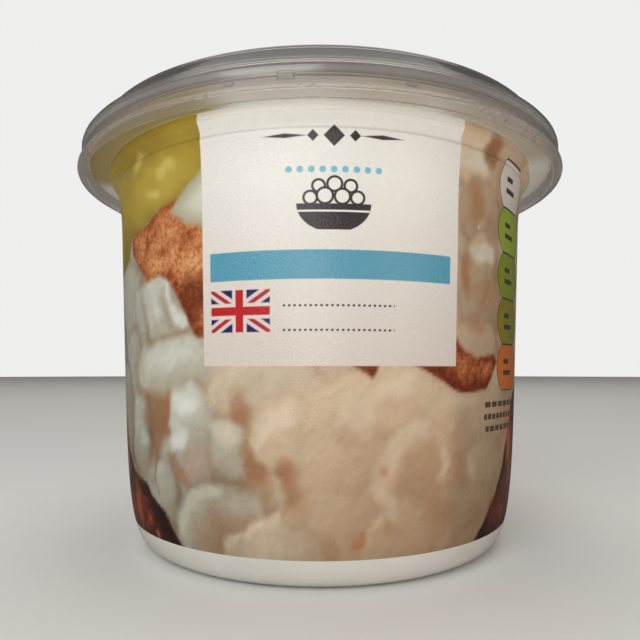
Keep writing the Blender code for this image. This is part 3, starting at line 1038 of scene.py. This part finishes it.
def print_tabs(across, up, colour):
    """A column of coloured tabs with thin dark outlines right of the front."""
    base = across - (up - TAB_LEVEL) * TAB_SLANT
    for index, tint in enumerate(TAB_COLOURS):
        middle = TAB_TOP - (index + 0.5) * TAB_PITCH
        bulge = ((up - middle) / (TAB_PITCH / 2)) ** 2.0 * TAB_BULGE
        side = abs(base - (TAB_LEFT + TAB_WIDTH / 2)) - TAB_WIDTH / 2 + bulge
        away = most(side, abs(up - middle) - TAB_PITCH / 2)
        colour = mix(away.fade(0.0, 0.12), colour, ink(64, 56, 40))
        colour = mix(away.fade(-0.22, -0.10), colour, ink(*tint))
        start = TICK_LEFT + (middle - TAB_LEVEL) * TAB_SLANT
        for drop, length in TICKS:
            level = middle - drop
            tick = box(across, up, start, start + length, level - TICK_HALF, level + TICK_HALF, 0.3)
            colour = mix(tick, colour, ink(66, 60, 44))
    return print_dashes(across, up, colour)


def print_dashes(across, up, colour):
    """Three short rows of plain dashes under the tabs."""
    for row, (start, dash) in enumerate(DASH_ROWS):
        level = DASH_TOP - DASH_ROW_PITCH * row
        inked = compute("LESS_THAN", pitch_share(across, 200.0, dash), 0.8)
        line = box(across, up, start, DASH_RIGHT, level - DASH_HALF, level + DASH_HALF, 0.1)
        colour = mix(line * inked, colour, ink(76, 66, 58))
    return colour


def start_material(name):
    """New material, with its node tree and Principled shader."""
    material = bpy.data.materials.new(name)
    material.use_nodes = True
    return material, material.node_tree, material.node_tree.nodes["Principled BSDF"]


def wrap_material():
    """Printed satin wrap: the painted picture with the crisp shapes over it."""
    material, tree, shader = start_material("printed_wrap")
    across, up = use_group(tree, WRAP_PLACE).values()
    grain = use_group(tree, SATIN_GRAIN, Grain_Size=0.22, Peel_Size=0.36)
    painted = add_node(tree, "ShaderNodeAttribute", {}, attribute_name="picture").outputs
    colour = add_crumb(Value(painted["Color"]), Value(painted["Alpha"]))
    colour = print_tabs(across, up, print_front(across, up, colour))
    speckle = grain["Grain"].between(0.3, 0.7, 0.965, 1.035)
    feed(shader, {
        "Base Color": scaled(colour, speckle * crease_shade(up)),
        "Roughness": grain["Smudge"].between(0.3, 0.7, 0.21, 0.32),
        "Normal": bump(grain["Peel"], 0.9, 0.075),
        "Specular IOR Level": 0.45, "Coat Weight": 0.08, "Coat Roughness": 0.22,
    })
    return material


# Painted shade lines on the wrap: height, half width and how much light is left
CREASE_SHADE_LINES = ((66.45, 0.3, 0.74), (68.4, 0.22, 0.88))


def crease_shade(up):
    """Painted shade in the groove and at the collar's edge, and painted light on the collar between them."""
    shade = up.between(66.7, 67.3, 1.0, 1.10)
    for height, half_width, left in CREASE_SHADE_LINES:
        shade = shade * abs(up - height).between(0.0, half_width, left, 1.0)
    return shade


def add_crumb(colour, crumb):
    """Fine crumb over the crackers and a finer mottle over everything else."""
    place = object_place(tree_of(colour))
    pits = noise(place, 1500.0, 4.0, 0.66).rise(0.36, 0.62)
    coarse = mix(pits, (0.66, 0.50, 0.44, 1), (1.12, 1.16, 1.22, 1))
    fine = noise(place, 900.0, 3.0, 0.55).between(0.32, 0.68, 0.975, 1.025)
    return mix(crumb, scaled(colour, fine), scaled(colour, coarse))


# Painted coloured light that the picture throws on the white under the rim: from, to, colour and strength
RIM_PAINTED_BOUNCE = [(-60.0, -14.0, (172, 152, 76), 0.9), (3.0, 15.5, (216, 198, 168), 0.5),
             (18.0, 46.0, (184, 164, 138), 0.6)]
TINT_FADE = 2.5


def tub_material():
    """White moulded plastic, a little milky, with painted coloured light from the picture below its rim and painted
    light under its flange.
    """
    material, tree, shader = start_material("milky_white_plastic")
    grain = use_group(tree, SATIN_GRAIN, Grain_Size=0.4, Peel_Size=1.2)
    across, up = use_group(tree, WRAP_PLACE).values()
    plain = mix(grain["Smudge"].rise(0.3, 0.7), ink(214, 211, 203), ink(224, 221, 214))
    under_rim = up.rise(69.3, 69.7)
    # Painted light brightens the underside of the rim's flange; the rim above it is greyer
    colour = mix(under_rim, plain, mix(up.rise(70.1, 70.4), ink(240, 238, 232), ink(194, 190, 182)))
    # Painted coloured light from the picture, laid on the white under the rim
    for start, end, tint, strength in RIM_PAINTED_BOUNCE:
        middle, half = (start + end) / 2, (end - start) / 2
        share = abs(across - middle).between(half - TINT_FADE, half + TINT_FADE, strength, 0.0)
        colour = mix(share * under_rim, colour, ink(*tint))
    feed(shader, {
        "Base Color": colour,
        "Roughness": grain["Grain"].between(0.3, 0.7, 0.30, 0.38),
        "Normal": bump(grain["Peel"], 0.2, 0.05),
        "Subsurface Weight": 0.15, "Subsurface Scale": 0.002,
    })
    return material


# Rings on the film: radius and half width, and the row of small diamonds between them
FILM_RINGS = ((36.4, 0.9), (34.3, 0.2), (14.5, 0.25))
FILM_ROW_RADIUS = 24.0
FILM_ROW_COUNT = 24
WELD_RADIUS = 43.6
WELD_RIBS = 260


def film_material():
    """Satin white sealing film with plain blue rings and a fine grid pressed where it is welded."""
    material, tree, shader = start_material("sealing_film")
    grain = use_group(tree, SATIN_GRAIN, Grain_Size=0.3, Peel_Size=3.0)
    x, y, _ = millimetres(tree)
    radius = span(x, y)
    turn = compute("ARCTAN2", x, y) / (2 * math.pi)
    blue = ink(104, 166, 192)
    colour = mix(grain["Smudge"], ink(222, 222, 218), ink(236, 236, 232))
    for middle, half in FILM_RINGS:
        colour = mix(abs(radius - middle).fade(half - 0.06, half + 0.06), colour, blue)
    petals = abs(compute("FRACT", turn * FILM_ROW_COUNT) - 0.5) * 6.4
    colour = mix((petals + abs(radius - FILM_ROW_RADIUS)).fade(1.25, 1.4), colour, blue)
    weld = abs(radius - WELD_RADIUS).fade(1.1, 1.4)
    ribs = compute("SINE", turn * (2 * math.pi * WELD_RIBS))
    pressed = weld * (ribs * compute("SINE", radius * 7.0))
    feed(shader, {
        "Base Color": colour,
        "Roughness": grain["Grain"].between(0.3, 0.7, 0.24, 0.34),
        "Normal": bump(pressed, 0.5, 0.08, bump(grain["Peel"], 0.3, 0.15)),
    })
    return material


def droplets(place, height):
    """Fine drops that cling in patches round the lip and the skirt's foot."""
    cells = add_node(tree_of(place), "ShaderNodeTexVoronoi", {"Vector": place, "Scale": 820.0})
    drop = Value(cells.outputs["Distance"]).fade(0.12, 0.36)
    return drop * noise(place, 150.0).rise(0.50, 0.58) * height.fade(69.2, 70.2)


# Bands of the lid darkened as painted shade: from, to and tint
LID_SHADE_BANDS = [(69.3, 71.4, (204, 199, 194)), (72.7, 74.2, (170, 165, 161)), (74.2, 78.0, (171, 167, 164))]
BAND_FADE = 0.3


def lid_material():
    """Clear moulded plastic, slightly smoky, with bands darkened as painted shade, that lets light through without a
    black shadow.
    """
    material, tree, shader = start_material("clear_lid_plastic")
    grain = use_group(tree, SATIN_GRAIN, Grain_Size=0.5, Peel_Size=2.2)
    height = millimetres(tree)[2]
    colour = mix(grain["Smudge"], ink(238, 233, 228), ink(248, 245, 241))
    # Painted shade: darker bands on the skirt, the bead and the raised ring
    for low, high, tint in LID_SHADE_BANDS:
        band = height.rise(low - BAND_FADE, low + BAND_FADE) * height.fade(high - BAND_FADE, high + BAND_FADE)
        colour = mix(band, colour, ink(*tint))
    skin = bump(grain["Peel"], 0.25, 0.06)
    feed(shader, {
        "Base Color": colour,
        "Roughness": grain["Smudge"].between(0.35, 0.65, 0.09, 0.17),
        "Normal": bump(droplets(object_place(tree), height), 0.7, 0.12, skin),
        "Transmission Weight": 0.9, "IOR": 1.49,
    })
    shadow_pass = add_node(tree, "ShaderNodeBsdfTransparent", {"Color": ink(250, 249, 248)})
    in_shadow = source(tree, "ShaderNodeLightPath", "Is Shadow Ray")
    lit, unlit = Value(shader.outputs[0]), Value(shadow_pass.outputs[0])
    blend = add_node(tree, "ShaderNodeMixShader", {0: in_shadow, 1: lit, 2: unlit})
    feed(tree.nodes["Material Output"], {"Surface": Value(blend.outputs[0])})
    return material


# Floor, light and camera

def make_floor():
    deselect_all()
    bpy.ops.mesh.primitive_circle_add(vertices=96, radius=3.0, fill_type="NGON", location=(0, 0, 0))
    floor = name_new("pale_floor")
    material, tree, shader = start_material("pale_floor_paint")
    mirrored = source(tree, "ShaderNodeLightPath", "Is Glossy Ray")
    feed(shader, {"Base Color": mix(mirrored, ink(238, 238, 236), ink(112, 104, 98)), "Roughness": 0.7})
    floor.data.materials.append(material)


def soft_light(name, place, target, size, power, colour):
    light = bpy.data.lights.new(name, "AREA")
    light.shape = "DISK"
    light.size = size
    light.energy = power
    light.color = colour
    lamp = bpy.data.objects.new(name, light)
    bpy.context.scene.collection.objects.link(lamp)
    lamp.location = place
    direction = Vector(target) - Vector(place)
    lamp.rotation_euler = direction.to_track_quat("-Z", "Y").to_euler()


# Brightness of the backdrop for each kind of ray, and where its glow through the lid ends
BACKDROP_SEEN = (0.86, 0.86, 0.855, 1)
BACKDROP_LIGHT = (0.285, 0.266, 0.249, 1)
BACKDROP_MIRRORED = (0.085, 0.08, 0.078, 1)
BACKDROP_THROUGH = ((0.60, 0.59, 0.58, 1), (0.13, 0.123, 0.12, 1))
GLOW_HEIGHTS = (0.12, 0.42)


def make_light():
    soft_light("window_left", (-0.13, -0.33, 0.23), (0, 0, 0.055), 0.32, 0.68, (0.95, 0.99, 1.0))
    soft_light("lamp_right", (0.28, -0.32, 0.15), (0, 0, 0.055), 0.26, 0.19, (1.0, 0.88, 0.78))
    soft_light("lamp_low", (-0.02, -0.40, 0.005), (0, 0, 0.07), 0.20, 0.31, (1.0, 0.96, 0.92))
    soft_light("lamp_top", (0.0, 0.30, 1.40), (0, 0, 0.0), 1.60, 7.0, (1.0, 0.99, 0.97))
    world = bpy.data.worlds.new("studio")
    bpy.context.scene.world = world
    world.use_nodes = True
    tree = world.node_tree
    direction = source(tree, "ShaderNodeTexCoord", "Generated")
    rise = Value(add_node(tree, "ShaderNodeSeparateXYZ", {0: direction}).outputs["Z"]).rise(*GLOW_HEIGHTS)
    colour = BACKDROP_MIRRORED
    for ray, seen in (("Is Transmission Ray", mix(rise, *BACKDROP_THROUGH)), ("Is Diffuse Ray", BACKDROP_LIGHT),
                      ("Is Camera Ray", BACKDROP_SEEN)):
        colour = mix(source(tree, "ShaderNodeLightPath", ray), colour, seen)
    backdrop = add_node(tree, "ShaderNodeBackground", {"Color": colour})
    feed(tree.nodes["World Output"], {"Surface": Value(backdrop.outputs[0])})
    bpy.context.scene.view_settings.view_transform = "Standard"


def make_camera():
    camera = bpy.data.cameras.new("view")
    camera.lens = LENS
    camera.sensor_width = 36.0
    camera.clip_start = 0.005
    holder = bpy.data.objects.new("view", camera)
    bpy.context.scene.collection.objects.link(holder)
    holder.location = CAMERA_PLACE
    holder.rotation_euler = (math.pi / 2 + CAMERA_TILT, 0, 0)
    bpy.context.scene.camera = holder


def main():
    dress(turned("tub_body", tub_outline()), tub_material(), "tub", "tub")
    dress(make_wrap(), wrap_material(), "tub")
    dress(turned("sealing_film", film_outline()), film_material(), "film", "seal_film")
    clear = lid_material()
    dress(turned("clear_lid", lid_outline()), clear, "lid", "lid")
    dress(make_lugs(), clear, "lid")
    make_floor()
    make_light()
    make_camera()


main()
